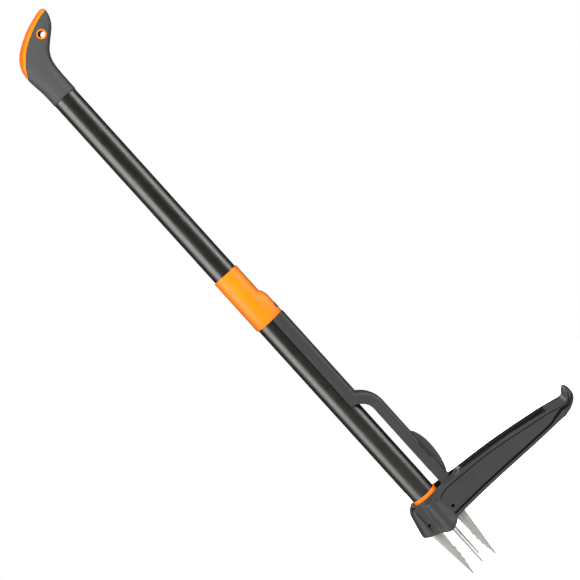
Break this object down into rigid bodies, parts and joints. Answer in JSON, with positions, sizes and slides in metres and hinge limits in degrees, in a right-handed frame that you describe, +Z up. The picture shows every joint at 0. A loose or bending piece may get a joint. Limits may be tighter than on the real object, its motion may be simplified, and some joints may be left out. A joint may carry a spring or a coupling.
{
  "type": "stand up weeder",
  "caption": "Long handled claw weeder with a hooked grip, a foot pedal that tilts to close serrated blades, and a sliding sleeve that pushes the weed out.",
  "frame": {"origin": "middle of the hanging hole through the grip, on the tool's middle plane", "axes": "+Z up along the tube with the blades pointing down, +X from the tube towards the pedal's toe, +Y from the near side to the far side"},
  "size_m": [0.2958, 0.0718, 1.0003],
  "materials": {
    "graphite_paint": "satin metallic graphite",
    "orange_plastic": "fine satin",
    "orange_soft": "soft touch",
    "grip_grey": "fine matt texture",
    "black_nylon": "glass filled, matt",
    "grey_acetal": "smooth",
    "zinc_steel": "zinc plated",
    "satin_stainless": "satin"
  },
  "bodies": {
    "shaft": {"shaft_tube": "graphite_paint", "foot_pin": "zinc_steel", "collar_ring": "orange_plastic", "grip_body": "grip_grey", "grip_pad": "orange_soft", "hang_eyelet": "orange_plastic", "claw_carrier": "black_nylon", "pedal_tilt_pin": "zinc_steel", "blade_pin_left": "zinc_steel", "blade_pin_right": "zinc_steel", "blade_pin_near": "zinc_steel", "blade_pin_far": "zinc_steel"},
    "pedal": {"pedal_housing": "black_nylon", "cam_follower": "grey_acetal"},
    "claw_left": {"blade_left": "satin_stainless"},
    "claw_right": {"blade_right": "satin_stainless"},
    "claw_near": {"blade_near": "satin_stainless"},
    "claw_far": {"blade_far": "satin_stainless"},
    "ejector": {"ejector_sleeve": "orange_plastic", "sleeve_screw": "zinc_steel", "ejector_arm": "black_nylon", "cam_fin": "black_nylon", "ejector_plate": "zinc_steel", "plate_screw_near": "zinc_steel", "plate_screw_far": "zinc_steel"}
  },
  "joints": [
    {"name": "pedal_tilt", "type": "hinge", "parent": "shaft", "child": "pedal", "pos_m": [-0.0358, 0, -0.8554], "axis": [0, -1, 0], "range_deg": [0, 8]},
    {"name": "close_left", "type": "hinge", "parent": "shaft", "child": "claw_left", "pos_m": [-0.0578, 0, -0.8734], "axis": [0, -1, 0], "range_deg": [0, 9.2]},
    {"name": "close_right", "type": "hinge", "parent": "shaft", "child": "claw_right", "pos_m": [-0.0138, 0, -0.8734], "axis": [0, 1, 0], "range_deg": [0, 9.2]},
    {"name": "close_near", "type": "hinge", "parent": "shaft", "child": "claw_near", "pos_m": [-0.0358, -0.021, -0.8734], "axis": [1, 0, 0], "range_deg": [0, 9.2]},
    {"name": "close_far", "type": "hinge", "parent": "shaft", "child": "claw_far", "pos_m": [-0.0358, 0.021, -0.8734], "axis": [-1, 0, 0], "range_deg": [0, 9.2]},
    {"name": "ejector_slide", "type": "slide", "parent": "shaft", "child": "ejector", "axis": [0, 0, -1], "range_m": [0, 0.06]}
  ],
  "couplings": [
    {"joint": "close_left", "follows": "pedal_tilt", "ratio": 1.125},
    {"joint": "close_right", "follows": "pedal_tilt", "ratio": 1.125},
    {"joint": "close_near", "follows": "pedal_tilt", "ratio": 1.125},
    {"joint": "close_far", "follows": "pedal_tilt", "ratio": 1.125}
  ]
}
